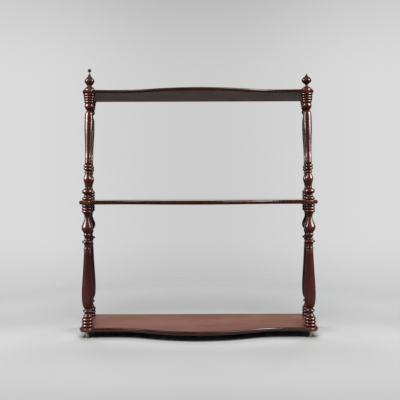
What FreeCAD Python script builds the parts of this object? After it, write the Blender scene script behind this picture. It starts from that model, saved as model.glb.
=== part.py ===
import FreeCAD, Part
import math
import os

# A three-tier etagere in millimetres, +Z up, standing on the floor at Z = 0.
# X runs from left to right, -Y is the front and the origin lies under the middle of the box.

Vector = FreeCAD.Vector
UP = Vector(0, 0, 1)
TOLERANCE = 0.01

# Heights, from the floor up
foot_height = 17.5
shelf_thickness = 10.5
lower_tier_height = 318.0
upper_tier_height = 276.8
top_shelf_thickness = 9.0

# Column places: half the front spacing, how much wider the rear stands, and front to back
front_half_span = 289.5
rear_flare = 16.5
column_depth = 130.0

# How far the head of an upper column stands inboard of its foot
front_lean_in = 7.5
rear_lean_in = 2.0

# Plan of the bottom and middle boards, reaches measured forward of the front column axis
lobe_radius = 20.5
bulge_reach = 57.0
hollow_reach = 15.0
hollow_inset = 74.0
bulge_share = 0.62
front_cusp_angle = 56.0
side_cusp_angle = 45.0
side_swell = 9.0
cusp_round = 5.0
edge_flat = 1.4

# Plan of the top board, where it differs
top_lobe_radius = 18.0
top_bulge_reach = 50.0
top_hollow_reach = 10.0

# Joints between the pieces
spigot_radius = 5.5
spigot_engagement = 16.0
foot_spigot_radius = 2.6
foot_spigot_engagement = 10.0
finial_spigot_radius = 4.5
finial_spigot_engagement = 15.0
fit_clearance = 0.15
socket_end_clearance = 1.0
wedge_thickness = 1.8
wedge_tip_thickness = 0.8
wedge_depth = 7.0
wedge_clearance = 0.05

# Peg feet
foot_pad_radius = 4.8
foot_pad_height = 4.2
foot_waist_radius = 3.6
foot_head_radius = 4.1
foot_head_height = 2.6
foot_head_swell = 0.7
foot_edge_round = 0.8

# Lower column turning, from the bottom board up. A reed stands out by its depth from the
# radius of its groove. A shape lists points of a swelling stretch as the share of its height
# and the share of its change in radius.
base_reed_count = 3
base_reed_height = 8.2
base_reed_depth = 3.6
base_reed_groove = 11.0
cap_reed_height = 6.6
cap_reed_depth = 2.6
cap_reed_groove = 8.4
base_neck_height = 7.2
base_neck_radius = 7.4
base_ring_height = 6.0
base_ring_depth = 2.9
base_ring_groove = 8.8
shaft_seat_height = 4.4
shaft_seat_waist = 7.9
shaft_foot_radius = 8.4
shaft_radius = 14.4
shaft_head_radius = 8.4
shaft_belly_height = 34.0
shaft_rise_shape = [(0.12, 0.42), (0.38, 0.80)]
shaft_fall_shape = [(0.45, 0.45), (0.80, 0.84)]
fine_ring_height = 4.0
fine_ring_radius = 9.3
fine_ring_groove = 7.9
throat_height = 6.0
throat_radius = 7.2
flare_rise = 6.8
flare_groove = 9.6
flare_shape = [(0.60, 0.30)]
flare_ring_height = 5.4
flare_ring_radius = 13.4
flare_neck_height = 11.0
flare_neck_radius = 6.7
bead_height = 8.4
bead_radius = 9.2
bead_groove = 7.9
baluster_height = 38.0
baluster_radius = 14.3
baluster_belly_height = 14.6
baluster_head_radius = 6.8
baluster_rise_shape = [(0.35, 0.58)]
baluster_fall_shape = [(0.50, 0.45), (0.85, 0.90)]
capital_neck_height = 14.6
capital_neck_radius = 7.0
capital_neck_head = 10.4
capital_reed_count = 3
capital_reed_height = 7.4
capital_reed_depth = 3.3
capital_reed_groove = 10.2

# Upper column turning, from the middle board up
plinth_ring_height = 7.8
plinth_ring_depth = 3.3
plinth_ring_groove = 9.9
waist_height = 8.6
waist_radius = 7.6
waist_head_radius = 8.8
collar_height = 13.0
collar_radius = 13.5
collar_head_radius = 7.2
rear_reed_count = 3
rear_reed_share = 0.8
rear_reed_depth = 3.4
rear_neck_radius = 8.4
vase_neck_height = 9.8
vase_neck_radius = 6.1
vase_foot_radius = 6.7
vase_height = 27.0
vase_radius = 10.4
vase_belly_height = 17.0
vase_head_radius = 7.4
vase_rise_shape = [(0.30, 0.30), (0.65, 0.80)]
vase_fall_shape = [(0.55, 0.35)]
ring_neck_height = 4.6
ring_neck_radius = 6.6
small_ring_height = 4.8
small_ring_depth = 2.0
small_ring_groove = 6.9
twin_neck_height = 2.6
twin_neck_radius = 6.8
twin_ring_count = 2
twin_ring_height = 7.4
twin_ring_depth = 3.2
twin_ring_groove = 7.8
drum_height = 14.8
drum_radius = 8.0
line_groove_height = 2.2
line_groove_radius = 7.2
spindle_foot_radius = 8.0
spindle_radius = 11.2
spindle_shoulder_depth = 34.0
spindle_head_radius = 5.3
spindle_rise_shape = [(0.30, 0.12), (0.70, 0.72)]
spindle_fall_shape = [(0.45, 0.04), (0.78, 0.17), (0.93, 0.52)]
cup_rise = 5.0
cup_groove = 9.2
cup_shape = [(0.50, 0.30)]
cup_height = 14.2
cup_radius = 12.2
head_reed_count = 4
head_reed_height = 6.3
head_reed_depth = 2.5
head_reed_groove = 9.8
head_reed_rise = 0.9
trim_margin = 0.5

# Finials, from the top board up. The left one carries a ball, the right one ends in a point.
dome_radius = 14.0
dome_height = 9.1
dome_shape = [(0.25, 0.08), (0.70, 0.60)]
bulb_radius = 12.8
bulb_belly_height = 10.6
bulb_height = 18.8
bulb_head_radius = 6.6
bulb_rise_shape = [(0.35, 0.50)]
bulb_fall_shape = [(0.55, 0.34)]
spire_shape = [(0.45, 0.62)]
left_neck_radius = 6.0
left_neck_end_radius = 7.4
left_neck_height = 5.0
left_spire_height = 13.8
left_tip_radius = 1.4
right_neck_radius = 3.2
right_neck_end_radius = 3.9
right_neck_height = 4.6
right_spire_height = 9.8
right_tip_radius = 0.5
ball_radius = 4.8
ball_pin_radius = 0.9
ball_pin_height = 4.0

# Levels and depths that follow from the sizes above
bottom_under = foot_height
bottom_top = bottom_under + shelf_thickness
middle_under = bottom_top + lower_tier_height
middle_top = middle_under + shelf_thickness
top_under = middle_top + upper_tier_height
top_top = top_under + top_shelf_thickness
depth = bulge_reach + column_depth + lobe_radius
front_axis_y = bulge_reach - depth / 2
rear_axis_y = front_axis_y + column_depth
rear_half_span = front_half_span + rear_flare
top_front_half_span = front_half_span - front_lean_in
top_rear_half_span = rear_half_span - rear_lean_in
head_groove = head_reed_groove + head_reed_count * head_reed_rise
foot_run = plinth_ring_height + waist_height + collar_height
kerf_length = 4 * spigot_radius


def save(name, shape):
    """Write one finished solid as its own file."""
    if len(shape.Solids) != 1 or not shape.isValid():
        raise RuntimeError(name + " is not one sound solid")
    shape.Solids[0].exportStep("parts/" + name + ".step")
    print(name, round(shape.Volume), "mm3")


def rod(radius, low, high, x=0.0, y=0.0):
    """A vertical cylinder between two levels."""
    return Part.makeCylinder(radius, high - low, Vector(x, y, low), UP)


def arc_about(centre, start, end):
    """The shorter arc about a centre between two points in plan."""
    middle = (start + end) * 0.5 - centre
    crown = centre + middle.normalize() * start.distanceToPoint(centre)
    return Part.Arc(start, crown, end).toShape()


def arc_outside(centre, start, end, outward):
    """An arc about a centre between two points that passes through a given direction."""
    crown = centre + outward.normalize() * start.distanceToPoint(centre)
    return Part.Arc(start, crown, end).toShape()


def board_outline(front_span, rear_span, lobe, bulge, hollow):
    """Plan of one board: a swelling front, hollows beside it and round lobes at the columns."""
    front_lobe = Vector(front_span, front_axis_y, 0)
    rear_lobe = Vector(rear_span, rear_axis_y, 0)
    hollow_x = front_span - hollow_inset
    hollow_point = Vector(hollow_x, front_axis_y - hollow, 0)
    amplitude = bulge - hollow
    radii_sum = (hollow_x ** 2 + amplitude ** 2) / (2 * amplitude)
    bulge_radius = bulge_share * radii_sum
    inner_radius = radii_sum - bulge_radius
    bulge_point = Vector(0, front_axis_y - bulge, 0)
    bulge_centre = bulge_point + Vector(0, bulge_radius, 0)
    inner_centre = hollow_point - Vector(0, inner_radius, 0)
    turn_point = bulge_centre + (inner_centre - bulge_centre) * bulge_share
    front_turn = math.radians(front_cusp_angle)
    front_cusp = front_lobe - Vector(math.cos(front_turn), math.sin(front_turn), 0) * lobe
    easing = Part.BezierCurve()
    easing.setPoles([
        hollow_point,
        Vector((hollow_x + front_cusp.x) / 2, hollow_point.y, 0),
        front_cusp,
    ])

    run = rear_lobe.sub(front_lobe).normalize()
    outward = Vector(run.y, -run.x, 0)
    side_turn = math.radians(side_cusp_angle)
    out_step = outward * (lobe * math.cos(side_turn))
    run_step = run * (lobe * math.sin(side_turn))
    side_front = front_lobe + out_step + run_step
    side_rear = rear_lobe + out_step - run_step
    side_middle = (front_lobe + rear_lobe) * 0.5 + outward * side_swell
    back_corner = rear_lobe + Vector(0, lobe, 0)

    right = [
        arc_about(inner_centre, turn_point, hollow_point),
        easing.toShape(),
        arc_outside(front_lobe, front_cusp, side_front, outward - run),
        Part.Arc(side_front, side_middle, side_rear).toShape(),
        arc_outside(rear_lobe, side_rear, back_corner, outward + run),
    ]
    across = Vector(1, 0, 0)
    left = [edge.mirror(Vector(0, 0, 0), across) for edge in right]
    left_turn = Vector(-turn_point.x, turn_point.y, 0)
    left_corner = Vector(-back_corner.x, back_corner.y, 0)
    front = Part.Arc(left_turn, bulge_point, turn_point).toShape()
    back = Part.makeLine(back_corner, left_corner)
    edges = Part.__sortEdges__(right + left + [front, back])
    cusps = [front_cusp, side_front, side_rear]
    cusps += [Vector(-point.x, point.y, 0) for point in cusps]
    return Part.Wire(edges), cusps


def board(outline, low, thickness, holes):
    """A board with softened cusps, a rounded edge all round and a hole for each spigot."""
    wire, cusps = outline
    blank = Part.Face(wire).extrude(UP * thickness)
    upright = []
    for edge in blank.Edges:
        start = edge.Vertexes[0].Point
        end = edge.Vertexes[-1].Point
        flat_start = Vector(start.x, start.y, 0)
        at_cusp = min(flat_start.distanceToPoint(cusp) for cusp in cusps) < TOLERANCE
        if abs(end.z - start.z) > thickness / 2 and at_cusp:
            upright.append(edge)
    softened = blank.makeFillet(cusp_round, upright)
    rim = []
    for edge in softened.Edges:
        box = edge.BoundBox
        level = box.ZMax - box.ZMin < TOLERANCE
        if level:
            rim.append(edge)
    rounded = softened.makeFillet((thickness - edge_flat) / 2, rim)
    for x, y, radius in holes:
        rounded = rounded.cut(rod(radius, 0, thickness, x, y))
    rounded.translate(UP * low)
    return rounded


class Turning:
    """A turner's profile, cut from the bottom up as beads, coves and swelling stretches."""

    def __init__(self, radius, low=0.0):
        self.radius = radius
        self.level = low
        self.low = low
        self.edges = [Part.makeLine(Vector(0, 0, low), Vector(radius, 0, low))]

    def here(self):
        return Vector(self.radius, 0, self.level)

    def arrive(self, radius, level):
        self.radius = radius
        self.level = level

    def straight(self, height, radius):
        start = self.here()
        self.arrive(radius, self.level + height)
        self.edges.append(Part.makeLine(start, self.here()))
        return self

    def arc(self, height, middle_radius, end_radius):
        """A bead or a cove: one arc through the crest or the waist at half height."""
        start = self.here()
        middle = Vector(middle_radius, 0, self.level + height / 2)
        self.arrive(end_radius, self.level + height)
        self.edges.append(Part.Arc(start, middle, self.here()).toShape())
        return self

    def bead(self, height, depth, rise=0.0):
        """A reed that stands out from its groove, whose radius may grow a little."""
        return self.arc(height, self.radius + rise + depth, self.radius + rise)

    def step(self, radius):
        """A flat shoulder to another radius."""
        start = self.here()
        self.arrive(radius, self.level)
        self.edges.append(Part.makeLine(start, self.here()))
        return self

    def through(self, points):
        """A smooth stretch through points given as rise above its start and radius."""
        path = [self.here()]
        path += [Vector(radius, 0, self.level + rise) for rise, radius in points]
        curve = Part.BSplineCurve()
        curve.interpolate(path)
        self.edges.append(curve.toShape())
        self.arrive(path[-1].x, path[-1].z)
        return self

    def slope(self, height, end_radius, shape):
        """A stretch that grows or narrows to another radius along a shape."""
        change = end_radius - self.radius
        points = [(height * up, self.radius + change * share) for up, share in shape]
        return self.through(points + [(height, end_radius)])

    def belly(self, height, crest_height, crest_radius, end_radius, rise_shape, fall_shape):
        """A stretch that swells to a crest and draws in again above it."""
        rise = crest_radius - self.radius
        fall = crest_radius - end_radius
        rest = height - crest_height
        points = [(crest_height * up, self.radius + rise * share) for up, share in rise_shape]
        points.append((crest_height, crest_radius))
        points += [(crest_height + rest * up, crest_radius - fall * share)
                   for up, share in fall_shape]
        return self.through(points + [(height, end_radius)])

    def turned(self):
        """The solid of revolution, closed along its own axis."""
        top = Vector(0, 0, self.level)
        closing = [Part.makeLine(self.here(), top), Part.makeLine(top, Vector(0, 0, self.low))]
        face = Part.Face(Part.Wire(self.edges + closing))
        return face.revolve(Vector(0, 0, 0), UP, 360)


def lower_turning():
    """The lower column: reeded base, bellied shaft, flared ring, baluster and reeded capital."""
    fixed = base_reed_count * base_reed_height + cap_reed_height + base_neck_height
    fixed += base_ring_height + shaft_seat_height + fine_ring_height + throat_height
    fixed += flare_rise + flare_ring_height + flare_neck_height + bead_height
    fixed += baluster_height + capital_neck_height + capital_reed_count * capital_reed_height
    shaft_height = lower_tier_height - fixed

    turning = Turning(base_reed_groove)
    for _ in range(base_reed_count):
        turning.bead(base_reed_height, base_reed_depth)
    turning.step(cap_reed_groove)
    turning.bead(cap_reed_height, cap_reed_depth)
    turning.step(base_ring_groove)
    turning.arc(base_neck_height, base_neck_radius, base_ring_groove)
    turning.bead(base_ring_height, base_ring_depth)
    turning.arc(shaft_seat_height, shaft_seat_waist, shaft_foot_radius)
    turning.belly(shaft_height, shaft_belly_height, shaft_radius, shaft_head_radius,
                  shaft_rise_shape, shaft_fall_shape)
    turning.step(fine_ring_groove)
    turning.arc(fine_ring_height, fine_ring_radius, fine_ring_groove)
    turning.arc(throat_height, throat_radius, fine_ring_groove)
    turning.slope(flare_rise, flare_groove, flare_shape)
    turning.arc(flare_ring_height, flare_ring_radius, flare_groove)
    turning.arc(flare_neck_height, flare_neck_radius, bead_groove)
    turning.arc(bead_height, bead_radius, bead_groove)
    turning.belly(baluster_height, baluster_belly_height, baluster_radius, baluster_head_radius,
                  baluster_rise_shape, baluster_fall_shape)
    turning.arc(capital_neck_height, capital_neck_radius, capital_neck_head)
    turning.step(capital_reed_groove)
    for _ in range(capital_reed_count):
        turning.bead(capital_reed_height, capital_reed_depth)
    return turning.turned()


def upper_turning(length, allowance, reeded_foot):
    """The upper column: foot, small vase, twin rings, tapering spindle and reeded head."""
    fixed = foot_run + vase_neck_height + vase_height
    fixed += ring_neck_height + small_ring_height + twin_neck_height
    fixed += twin_ring_count * twin_ring_height + drum_height + line_groove_height
    fixed += cup_rise + cup_height + head_reed_count * head_reed_height
    spindle_height = length - fixed

    turning = Turning(plinth_ring_groove, -allowance)
    turning.straight(allowance, plinth_ring_groove)
    if reeded_foot:
        reed_height = foot_run * rear_reed_share / rear_reed_count
        for _ in range(rear_reed_count):
            turning.bead(reed_height, rear_reed_depth)
        turning.arc(foot_run * (1 - rear_reed_share), rear_neck_radius, collar_head_radius)
    else:
        turning.bead(plinth_ring_height, plinth_ring_depth)
        turning.arc(waist_height, waist_radius, waist_head_radius)
        turning.arc(collar_height, collar_radius, collar_head_radius)
    turning.arc(vase_neck_height, vase_neck_radius, vase_foot_radius)
    turning.belly(vase_height, vase_belly_height, vase_radius, vase_head_radius,
                  vase_rise_shape, vase_fall_shape)
    turning.arc(ring_neck_height, ring_neck_radius, small_ring_groove)
    turning.bead(small_ring_height, small_ring_depth)
    turning.arc(twin_neck_height, twin_neck_radius, twin_ring_groove)
    for _ in range(twin_ring_count):
        turning.bead(twin_ring_height, twin_ring_depth)
    turning.straight(drum_height, drum_radius)
    turning.arc(line_groove_height, line_groove_radius, spindle_foot_radius)
    turning.belly(spindle_height, spindle_height - spindle_shoulder_depth, spindle_radius,
                  spindle_head_radius, spindle_rise_shape, spindle_fall_shape)
    turning.slope(cup_rise, cup_groove, cup_shape)
    turning.arc(cup_height, cup_radius, head_reed_groove)
    for _ in range(head_reed_count):
        turning.bead(head_reed_height, head_reed_depth, head_reed_rise)
    turning.straight(allowance, head_groove)
    return turning.turned()


def lower_column(x, y):
    """A lower column with its foot spigot below and a socket in its head."""
    body = lower_turning()
    body.translate(Vector(x, y, bottom_top))
    tip = bottom_under - foot_spigot_engagement
    body = body.fuse(rod(foot_spigot_radius, tip, bottom_top + base_reed_height, x, y))
    floor = middle_under - spigot_engagement - socket_end_clearance
    return body.cut(rod(spigot_radius + fit_clearance, floor, middle_under, x, y)).removeSplitter()


def upper_column(foot_x, head_x, y, reeded_foot):
    """An upper column that leans in from its foot to its head, cut level at both boards."""
    shift = head_x - foot_x
    length = math.hypot(shift, upper_tier_height)
    foot_reach = plinth_ring_groove + max(plinth_ring_depth, rear_reed_depth)
    widest = max(collar_radius, foot_reach, head_groove + head_reed_depth)
    allowance = widest * abs(shift) / upper_tier_height + trim_margin
    body = upper_turning(length, allowance, reeded_foot)
    lean = math.degrees(math.atan2(shift, upper_tier_height))
    body.rotate(Vector(0, 0, 0), Vector(0, 1, 0), lean)
    body.translate(Vector(foot_x, y, middle_top))
    reach = abs(shift) + 2 * widest
    corner = Vector(foot_x - reach, y - reach, middle_top)
    body = body.common(Part.makeBox(2 * reach, 2 * reach, upper_tier_height, corner))
    tip = middle_under - spigot_engagement
    return body.fuse(rod(spigot_radius, tip, middle_top + plinth_ring_height, foot_x, y))


def wedge_prism(x, y, clearance):
    """A wedge driven down into the flush end of a spigot, thick end up."""
    top_half = wedge_thickness / 2 + clearance
    tip_half = wedge_tip_thickness / 2 + clearance
    low = top_top - wedge_depth - clearance
    start = x - kerf_length / 2
    corners = [
        Vector(start, y - top_half, top_top),
        Vector(start, y + top_half, top_top),
        Vector(start, y + tip_half, low),
        Vector(start, y - tip_half, low),
    ]
    face = Part.Face(Part.makePolygon(corners + corners[:1]))
    return face.extrude(Vector(kerf_length, 0, 0))


def front_upper_column(foot_x, head_x, y):
    """A front upper column, with a socket in its head for the finial."""
    floor = top_under - finial_spigot_engagement - socket_end_clearance
    socket = rod(finial_spigot_radius + fit_clearance, floor, top_under, head_x, y)
    return upper_column(foot_x, head_x, y, False).cut(socket).removeSplitter()


def rear_upper_column(foot_x, head_x, y):
    """A rear upper column, with a spigot through the top board that is split for its wedge."""
    spigot = rod(spigot_radius, top_under - head_reed_height, top_top, head_x, y)
    body = upper_column(foot_x, head_x, y, True).fuse(spigot)
    kerf = wedge_prism(head_x, y, wedge_clearance)
    return body.cut(kerf).removeSplitter()


def rear_wedge(head_x, y):
    """The wedge in a rear spigot, trimmed to the round of the spigot."""
    blank = wedge_prism(head_x, y, 0.0)
    return blank.common(rod(spigot_radius, top_under, top_top, head_x, y))


def finial(x, neck_height, neck_radius, neck_end_radius, spire_height, tip_radius, pin_height):
    """A turned finial: dome, neck, bulb and spire, with a spigot below and room for a ball."""
    turning = Turning(dome_radius, top_top)
    turning.slope(dome_height, neck_end_radius, dome_shape)
    turning.arc(neck_height, neck_radius, neck_end_radius)
    turning.belly(bulb_height, bulb_belly_height, bulb_radius, bulb_head_radius,
                  bulb_rise_shape, bulb_fall_shape)
    turning.slope(spire_height, tip_radius, spire_shape)
    if pin_height > 0:
        turning.step(ball_pin_radius)
        turning.straight(pin_height, ball_pin_radius)
    body = turning.turned()
    body.translate(Vector(x, front_axis_y, 0))
    low = top_under - finial_spigot_engagement
    spigot = rod(finial_spigot_radius, low, top_top + dome_height / 2, x, front_axis_y)
    return body.fuse(spigot).removeSplitter()


def finial_ball(x, y):
    """The ball on the spire of the left finial, bored for its pin and flat where it sits."""
    seat = top_top + dome_height + left_neck_height + bulb_height + left_spire_height
    sunk = ball_radius - math.sqrt(ball_radius ** 2 - left_tip_radius ** 2)
    ball = Part.makeSphere(ball_radius, Vector(x, y, seat + ball_radius - sunk))
    ball = ball.cut(rod(ball_radius, seat - ball_radius, seat, x, y))
    bore_top = seat + ball_pin_height + fit_clearance
    return ball.cut(rod(ball_pin_radius + fit_clearance, seat, bore_top, x, y))


def foot(x, y):
    """A turned peg foot, bored from above for the spigot of the column."""
    turning = Turning(foot_pad_radius - foot_edge_round)
    turning.straight(foot_edge_round, foot_pad_radius)
    turning.straight(foot_pad_height, foot_pad_radius)
    turning.step(foot_head_radius)
    waist_run = foot_height - foot_head_height - foot_pad_height - foot_edge_round
    turning.arc(waist_run, foot_waist_radius, foot_head_radius)
    turning.bead(foot_head_height, foot_head_swell)
    body = turning.turned()
    floor = foot_height - foot_spigot_engagement - socket_end_clearance
    body = body.cut(rod(foot_spigot_radius + fit_clearance, floor, foot_height))
    body.translate(Vector(x, y, 0))
    return body


os.makedirs("parts", exist_ok=True)

rows = [("front", front_axis_y, front_half_span, top_front_half_span)]
rows.append(("rear", rear_axis_y, rear_half_span, top_rear_half_span))
sides = [("left", -1), ("right", 1)]
column_places = [(sign * span, y) for _, y, span, _ in rows for _, sign in sides]

plain_outline = board_outline(
    front_half_span, rear_half_span, lobe_radius, bulge_reach, hollow_reach)
top_outline = board_outline(
    top_front_half_span, top_rear_half_span, top_lobe_radius, top_bulge_reach, top_hollow_reach)

foot_hole = foot_spigot_radius + fit_clearance
column_hole = spigot_radius + fit_clearance
finial_hole = finial_spigot_radius + fit_clearance
bottom_holes = [(x, y, foot_hole) for x, y in column_places]
middle_holes = [(x, y, column_hole) for x, y in column_places]
top_holes = [(sign * top_front_half_span, front_axis_y, finial_hole) for _, sign in sides]
top_holes += [(sign * top_rear_half_span, rear_axis_y, column_hole) for _, sign in sides]

save("bottom_shelf", board(plain_outline, bottom_under, shelf_thickness, bottom_holes))
save("middle_shelf", board(plain_outline, middle_under, shelf_thickness, middle_holes))
save("top_shelf", board(top_outline, top_under, top_shelf_thickness, top_holes))

for row, y, span, top_span in rows:
    for side, sign in sides:
        place = row + "_" + side
        save("foot_" + place, foot(sign * span, y))
        save("lower_column_" + place, lower_column(sign * span, y))
        if row == "front":
            upper = front_upper_column(sign * span, sign * top_span, y)
        else:
            upper = rear_upper_column(sign * span, sign * top_span, y)
            save("rear_wedge_" + side, rear_wedge(sign * top_span, y))
        save("upper_column_" + place, upper)

left_x = -top_front_half_span
right_x = top_front_half_span
left_finial = finial(left_x, left_neck_height, left_neck_radius, left_neck_end_radius,
                     left_spire_height, left_tip_radius, ball_pin_height)
right_finial = finial(right_x, right_neck_height, right_neck_radius, right_neck_end_radius,
                      right_spire_height, right_tip_radius, 0)
save("finial_left", left_finial)
save("finial_right", right_finial)
save("finial_ball", finial_ball(left_x, front_axis_y))
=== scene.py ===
# %% [markdown]
# # An etagere with turned columns
#
# The solids of this small set of shelves are already exact: three shaped boards, eight turned
# columns, two finials, a ball, four peg feet and two wedges. What is left for Blender is how
# they look. We load the solids as a fixed frame, keep the box they fill, and give every piece
# a finish that is worked out from its place in the wood, so that nothing has to be unwrapped.

# %% Load the solids
import math

import bpy
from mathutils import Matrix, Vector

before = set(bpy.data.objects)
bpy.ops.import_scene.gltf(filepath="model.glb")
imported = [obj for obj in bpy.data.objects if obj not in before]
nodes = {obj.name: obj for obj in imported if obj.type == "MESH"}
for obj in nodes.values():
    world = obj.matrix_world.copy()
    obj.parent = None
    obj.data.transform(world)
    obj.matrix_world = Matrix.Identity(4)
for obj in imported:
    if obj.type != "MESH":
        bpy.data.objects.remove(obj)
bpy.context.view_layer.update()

print("pieces:", len(nodes))

# %% [markdown]
# ## Writing shader maths as Python
#
# A procedural finish is a small calculation done at every point of a surface. Wiring Math nodes
# by hand hides the formula, so one class wraps a socket and overloads the arithmetic. A value
# meets a value in a Math node. A colour needs a Mix node and a vector a Vector Math node,
# because a Math node would turn either of them into a single grey number.

# %% A socket that can be added, scaled and mixed
# A Mix node has several sockets of each name, so the ones for colours go by number.
mix_share, mix_under, mix_over, mix_result = 0, 6, 7, 2


class Tone:
    """The output of a shader node, ready for arithmetic."""

    def __init__(self, tree, socket):
        self.tree = tree
        self.socket = socket

    @classmethod
    def node(cls, tree, kind, settings=None, inputs=None, output=0):
        """Adds any node: its settings first, then the values or links of its sockets."""
        made = tree.nodes.new(kind)
        for key, value in (settings or {}).items():
            setattr(made, key, value)
        for key, value in (inputs or {}).items():
            socket = made.inputs[key]
            if isinstance(value, Tone):
                tree.links.new(value.socket, socket)
                continue
            width = len(socket.default_value) if hasattr(socket.default_value, "__len__") else 0
            if width and not hasattr(value, "__len__"):
                value = (value,) * 3
            if width == 4 and len(value) == 3:
                value = (*value, 1.0)
            socket.default_value = value
        return cls(tree, made.outputs[output])

    def joined(self, other, operation, swapped=False):
        """Joins two sides, at least one of them a Tone, in the kind of node they need."""
        first, second = (other, self) if swapped else (self, other)
        kinds = {side.socket.type for side in (first, second) if isinstance(side, Tone)}
        if "RGBA" in kinds:
            settings = {"data_type": "RGBA", "blend_type": operation}
            inputs = {mix_share: 1.0, mix_under: first, mix_over: second}
            return Tone.node(self.tree, "ShaderNodeMix", settings, inputs, mix_result)
        kind = "ShaderNodeVectorMath" if "VECTOR" in kinds else "ShaderNodeMath"
        return Tone.node(self.tree, kind, {"operation": operation}, {0: first, 1: second})

    def __add__(self, other):
        return self.joined(other, "ADD")

    def __radd__(self, other):
        return self.joined(other, "ADD", True)

    def __sub__(self, other):
        return self.joined(other, "SUBTRACT")

    def __rsub__(self, other):
        return self.joined(other, "SUBTRACT", True)

    def __mul__(self, other):
        return self.joined(other, "MULTIPLY")

    def __rmul__(self, other):
        return self.joined(other, "MULTIPLY", True)


print("Tone adds Math, Mix and Vector Math nodes from + - *")

# %% [markdown]
# ## A few words for wood
#
# Every finish below is spoken in the same few words: a noise that can be stretched along the
# grain, a soft step between two limits, one part of a vector, and a blend of two colours. The
# Object coordinates of the pieces are the metres of the whole part, so a scale of 250 means
# streaks about 4 mm wide, and two columns never repeat each other.

# %% Noise, steps, parts and blends
noise_middle = 0.5


def grain(along, across, axis="Z"):
    """Repeats to the metre along the grain and across it, for grain that follows an axis."""
    return tuple(along if letter == axis else across for letter in "XYZ")


def noise(place, stretch, detail=3.0, roughness=0.55, distortion=0.0):
    """Noise between 0 and 1 with its own number of repeats to the metre along each axis."""
    inputs = {"Vector": place * stretch, "Scale": 1.0, "Detail": detail}
    inputs.update({"Roughness": roughness, "Distortion": distortion})
    return Tone.node(place.tree, "ShaderNodeTexNoise", {}, inputs, "Fac")


def soft_step(value, low, high):
    """0 below low, 1 above high and an easy slope between them."""
    settings = {"interpolation_type": "SMOOTHSTEP"}
    inputs = {"Value": value, "From Min": low, "From Max": high}
    return Tone.node(value.tree, "ShaderNodeMapRange", settings, inputs, "Result")


def part_of(vector, axis):
    """One of the three numbers of a vector."""
    return Tone.node(vector.tree, "ShaderNodeSeparateXYZ", {}, {0: vector}, axis)


def size_of(vector, axis):
    """How large one of the three numbers is, whatever its sign."""
    settings = {"operation": "ABSOLUTE"}
    return Tone.node(vector.tree, "ShaderNodeMath", settings, {0: part_of(vector, axis)})


def blend(share, under, over):
    """A colour that goes from under to over as share goes from 0 to 1."""
    inputs = {mix_share: share, mix_under: under, mix_over: over}
    return Tone.node(share.tree, "ShaderNodeMix", {"data_type": "RGBA"}, inputs, mix_result)


print("words: grain, noise, soft_step, part_of, size_of, blend")

# %% [markdown]
# ## Facts about a surface
#
# Wear and dirt follow the form: wax stays in a groove and a crest is rubbed bare. Blender can
# tell at each point which way the surface faces, how sharply it bends and how near the next
# wall is. With these facts a finish can be soiled and worn where a real one would be, and
# darkened with painted shade in the grooves and where it turns down.

# %% Facing, shelter, and a new finish
shelter_samples = 16


def surface(tree, what):
    """A fact about the surface itself, such as its Normal or its Pointiness."""
    return Tone.node(tree, "ShaderNodeNewGeometry", {}, {}, what)


def shelter(tree, reach, own=True):
    """1 in the open and less where a wall, of the piece's own or any, is nearer than reach."""
    settings = {"samples": shelter_samples, "only_local": own}
    return Tone.node(tree, "ShaderNodeAmbientOcclusion", settings, {"Distance": reach}, "AO")


def new_finish(name, **constants):
    """A new material with its shader and the place of a point in metres."""
    material = bpy.data.materials.new(name)
    material.use_nodes = True
    tree = material.node_tree
    shader = tree.nodes["Principled BSDF"]
    for socket, value in constants.items():
        shader.inputs[socket.replace("_", " ")].default_value = value
    return material, shader, Tone.node(tree, "ShaderNodeTexCoord", {}, {}, "Object")


def feed(shader, **sockets):
    """Links what varies over the surface to the shader."""
    for socket, tone in sockets.items():
        tone.tree.links.new(tone.socket, shader.inputs[socket.replace("_", " ")])


def raised(height, distance):
    """A bump of that many metres, as a normal."""
    inputs = {"Height": height, "Distance": distance, "Strength": 1.0}
    return Tone.node(height.tree, "ShaderNodeBump", {}, inputs, "Normal")


print("words: surface, shelter, new_finish, feed, raised")

# %% [markdown]
# ## Turned mahogany
#
# The columns and finials were turned from straight-grained mahogany, stained a deep red-brown
# and polished. Three things tell the eye so: streaks that run up the column and are cut open
# where it swells, dark grooves, and crests rubbed a little lighter. The grooves hold dark wax and
# carry painted shade as well. A wood image wrapped round the column would slide at every bead. A
# solid texture does not, because the knife cuts through the same streaks that lie inside the
# wood. The polish is a clear coat that the rag laid on from above, so it thins out where a bead
# turns under, and there the colour is darkened with painted shade. On the long shafts of the
# lower columns most of the polish has worn away, and their colour is darkened with painted shade.
# Under the coat the wood has a broad reddish sheen of its own, which takes the hard white out of
# the highlights.

# %% The finish of the columns and finials
turned_sway = 0.012            # how far the streaks wander, in metres
groove_reach = 0.010           # how near a wall makes a groove, in metres
groove_walls = (0.50, 0.97)    # shelter, from deep in a groove to the open
groove_bend = (0.48, 0.535)    # Pointiness, from a hollow to a plain round
crest_bend = (0.545, 0.60)     # Pointiness, from a plain round to a crest
shaft_foot = (0.077, 0.090)    # heights in metres where the worn lower shafts begin
shaft_head = (0.215, 0.232)    # and where they end
turned_relief = 0.000005       # depth of the open grain, in metres
pore_black = (0.012, 0.003, 0.002)
underside_shade_brown = (0.014, 0.006, 0.004)
groove_wax_and_shade = (0.006, 0.003, 0.002)
shaft_shade = (0.010, 0.002, 0.0015)


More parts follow.
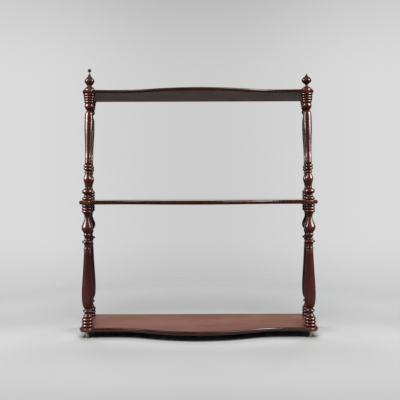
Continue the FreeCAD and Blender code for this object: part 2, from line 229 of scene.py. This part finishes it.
def turned_finish(name, dark, light, warm, worn):
    """Polished turned wood, from the darkest streak to the crests where the stain is worn."""
    material, shader, place = new_finish(
        name, Specular_IOR_Level=0.12, Specular_Tint=(1.0, 0.74, 0.69, 1.0),
        Coat_IOR=1.8, Coat_Roughness=0.19)

    # the wood
    sway = noise(place, grain(along=3.0, across=14.0), detail=2.0)
    wandering = place + (sway - noise_middle) * turned_sway
    streak = noise(wandering, grain(along=7.0, across=310.0), detail=4.0, roughness=0.6)
    vessel = noise(place, grain(along=45.0, across=1500.0), detail=2.0, roughness=0.5)
    band = noise(wandering, grain(along=2.2, across=70.0), detail=2.0)
    colour = blend(soft_step(streak, low=0.30, high=0.70), dark, light)
    colour = blend(soft_step(band, low=0.42, high=0.72) * 0.5, colour, warm)
    colour = blend(soft_step(vessel, low=0.60, high=0.72) * 0.55, colour, pore_black)

    # wear and dirt
    bend = surface(place.tree, "Pointiness")
    in_the_open = soft_step(shelter(place.tree, groove_reach), *groove_walls)
    groove = 1 - soft_step(bend, *groove_bend) * in_the_open
    scuff = noise(place, grain(along=60.0, across=90.0), detail=4.0)
    rubbed = soft_step(bend, *crest_bend) * soft_step(scuff, low=0.40, high=0.70)
    facing = part_of(surface(place.tree, "Normal"), "Z")
    turned_up = soft_step(facing, low=-0.22, high=0.02)
    underside_shade = soft_step(-1.0 * facing, low=0.05, high=0.75)
    height = part_of(place, "Z")
    dulled = soft_step(height, *shaft_foot) * (1 - soft_step(height, *shaft_head))
    colour = blend(rubbed * 0.40, colour, worn)
    # painted shade: faces that turn down are darkened
    colour = blend(underside_shade * 0.70, colour, underside_shade_brown)
    # dark wax and painted shade: the grooves are darkened
    colour = blend(groove * 0.90, colour, groove_wax_and_shade)
    # painted shade: the colour of the lower shafts is darkened
    colour = blend(dulled * 0.25, colour, shaft_shade)

    # gloss, polish and relief
    haze = noise(place, grain(along=30.0, across=120.0))
    gloss = 0.34 + 0.10 * haze + 0.30 * groove + 0.40 * dulled
    polish = (0.85 - 0.15 * rubbed) * (1 - 0.65 * dulled) * turned_up * (1 - groove)
    tool_lines = noise(place, grain(along=900.0, across=20.0), detail=1.0)
    relief = 0.6 * streak + 0.3 * vessel + 0.4 * tool_lines
    feed(shader, Base_Color=colour, Roughness=gloss, Coat_Weight=polish,
         Normal=raised(relief, turned_relief))
    print(name, "has", len(place.tree.nodes), "nodes")
    return material


turned_wood = turned_finish(
    "turned_mahogany", dark=(0.023, 0.0048, 0.0035), light=(0.060, 0.0116, 0.0076),
    warm=(0.073, 0.0155, 0.0099), worn=(0.100, 0.033, 0.020))
# the finials' copy of the column wood is greyer; part of the grey is painted sheen
finial_wood_with_sheen = turned_finish(
    "finial_mahogany_sheen", dark=(0.018, 0.0085, 0.0065), light=(0.048, 0.0230, 0.0175),
    warm=(0.058, 0.0290, 0.0225), worn=(0.110, 0.062, 0.047))

# %% [markdown]
# ## Mahogany boards: the wood
#
# The shelves are thin boards with the grain along their length. Upper face, edge and underside
# look quite different, and they are parted by the way the surface faces, which is exact on
# these boards. So one finish serves a whole board without a seam.

# %% Faces and grain of the shelves
board_sway = 0.02               # how far the streaks wander, in metres
flat_facing = (0.80, 0.97)      # up or down part of the normal, from an edge to a flat face
lobe_start = (0.262, 0.300)     # distance from the middle, in metres, where a lobe begins
hollow_start = (0.11, 0.16)     # and where a hollow begins
raised_start = (0.10, 0.25)     # heights that part the bottom board from the raised ones

board_wood, shader, place = new_finish(
    "board_mahogany", Specular_IOR_Level=0.30, Coat_IOR=1.8, Coat_Roughness=0.10)
facing = part_of(surface(place.tree, "Normal"), "Z")
under = soft_step(-1.0 * facing, *flat_facing)
upper = soft_step(facing, *flat_facing)
edge = 1 - upper - under
sideways = size_of(place, "X")
lobes = soft_step(sideways, *lobe_start)
hollows = soft_step(sideways, *hollow_start)
raised_boards = soft_step(part_of(place, "Z"), *raised_start)

sway = noise(place, grain(along=3.0, across=12.0, axis="X"), detail=2.0)
wandering = place + (sway - noise_middle) * board_sway
streak = noise(wandering, grain(along=5.0, across=330.0, axis="X"), detail=4.0, roughness=0.6)
vessel = noise(place, grain(along=42.0, across=1500.0, axis="X"), detail=2.0, roughness=0.5)
figure = noise(wandering, grain(along=1.6, across=42.0, axis="X"), roughness=0.5, distortion=0.4)
cloud = noise(place, grain(along=9.0, across=16.0, axis="X"))
print("boards so far:", len(board_wood.node_tree.nodes), "nodes")

# %% [markdown]
# ## Mahogany boards: colour
#
# The rounded edges are darker than the upper faces, and the lobes are a clearer red, a painted
# sheen. Round the columns the upper faces are darkened with a painted shadow and reflection of
# the columns. The undersides were never polished and have gone grey-brown, and the faces of the
# bottom board that turn down are darkened with painted shade.

# %% Colours of the shelves
streak_dark, streak_light = (0.090, 0.0243, 0.0121), (0.204, 0.060, 0.0285)
figure_brown = (0.102, 0.0315, 0.018)
board_pores = (0.060, 0.0150, 0.0080)
edge_dark, edge_light = (0.017, 0.0055, 0.0036), (0.046, 0.0118, 0.0076)
edge_rubbed = (0.140, 0.034, 0.017)
lobe_painted_sheen = (0.165, 0.038, 0.021)
raw_dark, raw_light = (0.098, 0.075, 0.065), (0.160, 0.124, 0.108)
raw_stain = (0.068, 0.051, 0.044)
column_shade_and_mirror = (0.050, 0.009, 0.005)
under_bottom_shade_black = (0.008, 0.005, 0.004)
column_shade_reach = 0.040               # how near a column the painted shadow reaches, in metres

top_wood = blend(soft_step(streak, low=0.28, high=0.72), streak_dark, streak_light)
top_wood = blend(soft_step(figure, low=0.40, high=0.64) * 0.60, top_wood, figure_brown)
top_wood = blend(soft_step(vessel, low=0.58, high=0.72) * 0.55, top_wood, board_pores)
near_column = 1 - soft_step(shelter(place.tree, column_shade_reach, own=False), low=0.55, high=0.98)
# painted shadow and reflection of the columns on the upper faces
top_wood = blend(upper * near_column * 0.75, top_wood, column_shade_and_mirror)

edge_wood = blend(soft_step(streak, low=0.30, high=0.70), edge_dark, edge_light)
scuff = noise(place, grain(along=26.0, across=60.0, axis="X"), detail=4.0)
edge_wood = blend(soft_step(scuff, low=0.56, high=0.72) * 0.30, edge_wood, edge_rubbed)
# painted sheen: the lobes are lighter red
edge_wood = blend(lobes * 0.60, edge_wood, lobe_painted_sheen)

raw_wood = blend(soft_step(streak, low=0.25, high=0.75), raw_dark, raw_light)
raw_wood = blend(soft_step(cloud, low=0.45, high=0.75) * 0.35, raw_wood, raw_stain)

colour = blend(under, blend(edge, top_wood, edge_wood), raw_wood)
# painted shade: the faces of the bottom board that turn down are darkened
under_bottom_shade = soft_step(-1.0 * facing, low=0.0, high=0.6) * (1 - raised_boards)
colour = blend(under_bottom_shade * 0.60, colour, under_bottom_shade_black)
print("boards with colour:", len(board_wood.node_tree.nodes), "nodes")

# %% [markdown]
# ## Mahogany boards: polish
#
# The upper faces have a worn polish that still mirrors the room at a low angle, and the two
# raised boards have kept more of it than the bottom one. The edges are glossiest in the hollows,
# where no hand rubs them.

# %% Gloss and polish of the shelves
board_relief = 0.000014         # depth of the open grain, in metres

gloss = 0.29 + 0.12 * soft_step(cloud, low=0.30, high=0.75) + 0.06 * streak
gloss = gloss - 0.10 * edge + 0.40 * under - 0.20 * upper * raised_boards
turned_up = soft_step(facing, low=-0.25, high=0.25)
polish = turned_up * (0.60 * upper * raised_boards + edge * (0.08 + 0.82 * hollows))
relief = 0.7 * streak + 0.4 * vessel
feed(shader, Base_Color=colour, Roughness=gloss, Coat_Weight=polish,
     Normal=raised(relief, board_relief))
print("board mahogany:", len(board_wood.node_tree.nodes), "nodes")

# %% [markdown]
# ## Tarnished brass feet
#
# The peg feet are brass that has not been cleaned for years: an olive brown skin, almost black
# where fingers never reach, with some yellow metal where the foot is rubbed. A metal finish
# with two colours would look new, so the tarnish also takes away the metal's mirror.

# %% The finish of the feet
brass_yellow, brass_olive = (0.270, 0.242, 0.150), (0.105, 0.096, 0.060)
brass_bare = (0.400, 0.365, 0.235)
brass_speck = (0.020, 0.019, 0.012)
brass_relief = 0.00003          # depth of the pitting, in metres

foot_brass, shader, place = new_finish("foot_brass", Specular_IOR_Level=0.5)
patch = noise(place, grain(along=260.0, across=190.0), detail=5.0, roughness=0.62)
speck = noise(place, 900.0, detail=2.0)
bend = surface(place.tree, "Pointiness")
bare = soft_step(bend, low=0.54, high=0.60) * soft_step(patch, low=0.40, high=0.65)
tarnish = soft_step(patch, low=0.36, high=0.66)
colour = blend(tarnish, brass_yellow, brass_olive)
colour = blend(bare * 0.7, colour, brass_bare)
colour = blend(soft_step(speck, low=0.62, high=0.74) * 0.6, colour, brass_speck)
feed(shader, Base_Color=colour, Roughness=0.22 + 0.18 * tarnish - 0.06 * bare,
     Metallic=0.98 - 0.16 * tarnish, Normal=raised(patch + 0.4 * speck, brass_relief))
print("tarnished brass:", len(foot_brass.node_tree.nodes), "nodes")

# %% [markdown]
# ## The ebonised ball and the wedges
#
# The ball on the left finial is darker than the wood below it, nearly neutral black, with a
# satin skin. The wedges that lock the rear columns show only as thin strips of pale end grain
# in the top board, stained along with everything round them.

# %% The finishes of the ball and the wedges
ball_dark, ball_light = (0.010, 0.010, 0.009), (0.028, 0.026, 0.023)
ball_scuff = (0.075, 0.065, 0.055)
ball_relief = 0.00001           # depth of the grain, in metres
beech_dark, beech_light = (0.170, 0.085, 0.045), (0.290, 0.165, 0.090)
beech_pores = (0.080, 0.036, 0.020)
beech_relief = 0.00002          # depth of the pores, in metres

ball_black, shader, place = new_finish(
    "ball_ebonised", Specular_IOR_Level=0.10, Coat_Roughness=0.3)
streak = noise(place, grain(along=60.0, across=520.0), detail=4.0)
scuff = soft_step(noise(place, 420.0, detail=4.0), low=0.58, high=0.74)
colour = blend(scuff * 0.6, blend(streak, ball_dark, ball_light), ball_scuff)
feed(shader, Base_Color=colour, Roughness=0.45 + 0.20 * scuff,
     Coat_Weight=0.12 - 0.08 * scuff, Normal=raised(streak, ball_relief))

wedge_wood, shader, place = new_finish("wedge_beech", Specular_IOR_Level=0.4)
pores = noise(place, grain(along=300.0, across=1800.0))
rays = noise(place, grain(along=900.0, across=160.0, axis="Y"))
colour = blend(rays, beech_dark, beech_light)
colour = blend(soft_step(pores, low=0.55, high=0.72), colour, beech_pores)
feed(shader, Base_Color=colour, Roughness=0.42 + 0.20 * pores,
     Normal=raised(pores, beech_relief))
print("ball:", len(ball_black.node_tree.nodes), "nodes")
print("wedges:", len(wedge_wood.node_tree.nodes), "nodes")

# %% [markdown]
# ## Dressing the pieces
#
# A piece keeps the exact mesh it came with and only changes its material, so its name decides
# its finish. Smooth shading is left to the normals that came with the solids. The finials get a
# greyer copy of the column wood, part of its grey a painted sheen, and the table lists them
# under the columns' slot name.

# %% Give every piece its finish
finishes = {
    "shelf": (board_wood, "board_mahogany"),
    "column": (turned_wood, "turned_mahogany"),
    "foot": (foot_brass, "foot_brass"),
    "ball": (ball_black, "ball_ebonised"),
    "wedge": (wedge_wood, "wedge_beech"),
    "finial": (finial_wood_with_sheen, "turned_mahogany"),
}
for name, piece in nodes.items():
    kind = next(word for word in finishes if word in name)
    material, slot = finishes[kind]
    piece.data.materials.clear()
    piece.data.materials.append(material)
    print(name, "->", material.name)

# %% [markdown]
# ## The floor
#
# The etagere stands on pale grey paper in front of a pale wall. Only the floor near it has to
# be real, because that takes the shadow and throws light back under the boards. So the floor is
# a disc that thins out to nothing at its rim, and the grey beyond it belongs to the world.

# %% Lay the floor
floor_radius = 0.95
floor_solid = 0.62
floor_y = 0.05
rim_steps = 128

rim = []
for step in range(rim_steps):
    turn = 2 * math.pi * step / rim_steps
    rim.append((floor_radius * math.cos(turn), floor_y + floor_radius * math.sin(turn), 0.0))
floor_mesh = bpy.data.meshes.new("floor")
floor_mesh.from_pydata(rim, [], [list(range(rim_steps))])
floor = bpy.data.objects.new("floor", floor_mesh)
bpy.context.scene.collection.objects.link(floor)
print("floor disc of", floor_radius, "m")

# %% [markdown]
# ## The paper on the floor
#
# The paper is toned a little darker where a large lamp would burn it out. Behind the feet and
# further back it is darker, a painted shade, and under the bottom board a painted shadow keeps
# that gap black.

# %% Tone the paper
paper_dark, paper_pale = (0.52, 0.525, 0.525), (0.97, 0.972, 0.970)

paper_grey, shader, place = new_finish("floor_paper", Specular_IOR_Level=0.1)
fibre = noise(place, 300.0)
depth = part_of(place, "Y")
sideways = size_of(place, "X")
sides = soft_step(sideways, low=0.05, high=0.45)
painted_shade_behind = soft_step(depth, low=-0.10, high=0.12)
far = soft_step(depth, low=0.30, high=0.78)
near = 1 - soft_step(depth, low=-0.50, high=-0.26)
front = 1 - soft_step(depth, low=0.10, high=0.60)
# painted shadow: the paper under the bottom board is darker
painted_board_shadow = soft_step(depth, low=-0.075, high=-0.045) * (1 - soft_step(depth, low=0.05, high=0.08))
painted_board_shadow = painted_board_shadow * (1 - soft_step(sideways, low=0.27, high=0.30))
# painted shade: the paper is darker behind the etagere
paper_tone = 0.91 + 0.08 * fibre - 0.26 * painted_shade_behind - 0.36 * far - 0.38 * sides * front
paper_tone = paper_tone - near * (0.68 - 0.40 * sides) - 0.50 * painted_board_shadow
feed(shader, Base_Color=blend(paper_tone, paper_dark, paper_pale), Roughness=0.85 + 0.1 * fibre)

from_centre = place - (0.0, floor_y, 0.0)
settings = {"operation": "LENGTH"}
away = Tone.node(place.tree, "ShaderNodeVectorMath", settings, {0: from_centre}, "Value")
paper = Tone(place.tree, shader.outputs["BSDF"])
gone = Tone.node(place.tree, "ShaderNodeBsdfTransparent")
inputs = {0: soft_step(away, floor_solid, floor_radius), 1: paper, 2: gone}
faded = Tone.node(place.tree, "ShaderNodeMixShader", {}, inputs)
place.tree.links.new(faded.socket, place.tree.nodes["Material Output"].inputs["Surface"])
floor_mesh.materials.append(paper_grey)
print("floor paper:", len(place.tree.nodes), "nodes")

# %% [markdown]
# ## The wall and the dark room
#
# The camera sees a pale wall, a little darker in its middle and at its top. The polish sees it
# too, but only in the wall's own direction. The rest of such a studio is dark, and that matters
# as much as the lamps: a polished column that mirrored pale walls all round would look like
# grey plastic. So the wall shows in every view, and as light it counts for next to nothing.

# %% Paint the world
wall_dark, wall_pale = (0.493, 0.495, 0.494), (0.703, 0.707, 0.705)
dark_room = (0.012, 0.0125, 0.013)

world = bpy.data.worlds.new("studio")
world.use_nodes = True
tree = world.node_tree
toward = Tone.node(tree, "ShaderNodeTexCoord", {}, {}, "Generated")
height = part_of(toward, "Z")
sides = soft_step(size_of(toward, "X"), low=0.02, high=0.30)
top = soft_step(height, low=0.17, high=0.44)
foot = 1 - soft_step(height, low=-0.21, high=-0.08)
below = 1 - soft_step(height, low=-0.27, high=-0.20)
dusk = top + 0.57 * foot - 0.33 * below
wall = blend(0.54 + 0.43 * sides - dusk, wall_dark, wall_pale)

rays = {}
for ray in ("Camera", "Glossy", "Transmission"):
    rays[ray] = Tone.node(tree, "ShaderNodeLightPath", {}, {}, "Is " + ray + " Ray")
behind = soft_step(part_of(toward, "Y"), low=0.75, high=0.90)
behind = behind * (1 - soft_step(height, low=0.28, high=0.45))
shows = rays["Camera"] + (rays["Glossy"] + rays["Transmission"]) * behind
backdrop = blend(shows, dark_room, wall)
tree.links.new(backdrop.socket, tree.nodes["Background"].inputs["Color"])
bpy.context.scene.world = world
print("world:", len(tree.nodes), "nodes")

# %% [markdown]
# ## What each lamp lights
#
# In a studio, flags keep a lamp off the things it should not light. Here collections do that
# work: a lamp can be told to light the turned pieces of one side, the boards, or every piece.

# %% Sort the pieces for the lamps
turned_pieces = {"left": bpy.data.collections.new("turned_left"),
                 "right": bpy.data.collections.new("turned_right")}
boards = bpy.data.collections.new("boards")
all_pieces = bpy.data.collections.new("all_pieces")
for name, piece in nodes.items():
    all_pieces.objects.link(piece)
    if "shelf" in name:
        boards.objects.link(piece)
    else:
        turned_pieces["right" if "right" in name else "left"].objects.link(piece)

# %% [markdown]
# ## Light
#
# Every polished column shows two bright lines, and a polished round mirrors a lamp half way
# between the lamp and the eye. Read backwards, the lines place the lamps: a wide soft box about
# sixty degrees to the column's own side, and a narrower one almost level with it on the other
# side. These boxes are slightly warm, and they light the turned pieces alone: on the paper
# their light would creep under the bottom board, and a board seen from its end would turn into
# a white mirror. The boards have a smaller box of their own on each side, high enough not to do
# that, and it draws the bright streaks on the slopes of their edges, the stronger one on the
# right. A wide light above and in front lights boards and floor and leaves the floor black from
# foot to foot. One above the back lights the paper there, and a weak one behind shows the back
# of the pieces. These three are hidden from the polish, or they would draw grey lines on every
# bead.

# %% Set up the lamps
side_aim = (0.28, 0.0, 0.45)
side_tint = (1.0, 0.92, 0.87)
side_lamps = {  # place, aim and size of the lamps on the right; those on the left mirror them
    "near_box": ((2.40, -1.37, 1.50), side_aim, (2.0, 2.05)),
    "far_box": ((-2.45, -0.40, 1.50), side_aim, (1.2, 2.05)),
    "edge_box": ((1.22, -1.20, 2.10), (0.17, -0.07, 0.33), (1.0, 1.0)),
}
side_watts = {
    "left": {"near_box": 230.0, "far_box": 140.0, "edge_box": 8.0},
    "right": {"near_box": 230.0, "far_box": 140.0, "edge_box": 34.0},
}
middle_lamps = {  # place, aim, size and watts
    "rear_box": ((0.0, 2.4, 1.2), (0.0, 0.0, 0.35), (2.6, 1.2), 55.0),
    "top_box": ((0.0, -1.4, 2.0), (0.0, -0.1, 0.0), (2.1, 1.2), 45.0),
    "back_box": ((0.0, 1.1, 2.3), (0.0, 0.45, 0.0), (2.2, 1.0), 36.0),
}


def soft_box(name, spot, aim, size, watts):
    """An area lamp that points at aim and that the camera doesn't see."""
    lamp = bpy.data.lights.new(name, "AREA")
    lamp.shape = "RECTANGLE"
    lamp.size, lamp.size_y = size
    lamp.energy = watts
    holder = bpy.data.objects.new(name, lamp)
    holder.location = spot
    holder.visible_camera = False
    direction = Vector(aim) - Vector(spot)
    holder.rotation_euler = direction.to_track_quat("-Z", "Y").to_euler()
    bpy.context.scene.collection.objects.link(holder)
    return holder


def on_side(sign, spot):
    """The same spot on the right for 1 and on the left for -1."""
    return (sign * spot[0], *spot[1:])


for side, sign in (("left", -1), ("right", 1)):
    for kind, (spot, aim, size) in side_lamps.items():
        lamp = soft_box(side + "_" + kind, on_side(sign, spot), on_side(sign, aim), size,
                        side_watts[side][kind])
        if kind == "edge_box":
            lamp.light_linking.receiver_collection = boards
        else:
            lamp.light_linking.receiver_collection = turned_pieces[side]
            lamp.data.color = side_tint
for name, (spot, aim, size, watts) in middle_lamps.items():
    lamp = soft_box(name, spot, aim, size, watts)
    lamp.visible_glossy = False
    if name == "rear_box":
        lamp.light_linking.receiver_collection = all_pieces

# %% [markdown]
# ## Camera
#
# The picture was taken from a metre and a half in front of the columns, a little above the
# middle board, with the camera held level: uprights stay parallel. The small lens shift puts
# the etagere where it stands in the frame, and the small roll is the tilt of that camera.

# %% Place the camera
front_column_y = -0.04675
camera_distance = 1.5
camera_height = 0.393
camera_right = 0.0042
camera_roll = 0.2               # degrees
sensor_width, lens_length = 36.0, 51.93    # millimetres
lens_shift = -0.035             # share of the picture's width

camera_data = bpy.data.cameras.new("camera")
camera_data.sensor_width = sensor_width
camera_data.lens = lens_length
camera_data.shift_y = lens_shift
camera = bpy.data.objects.new("camera", camera_data)
camera.location = (camera_right, front_column_y - camera_distance, camera_height)
camera.rotation_euler = (math.radians(90), math.radians(camera_roll), 0.0)
bpy.context.scene.collection.objects.link(camera)
bpy.context.scene.camera = camera
bpy.context.scene.view_settings.view_transform = "Standard"
print("camera at", [round(v, 3) for v in camera.location])
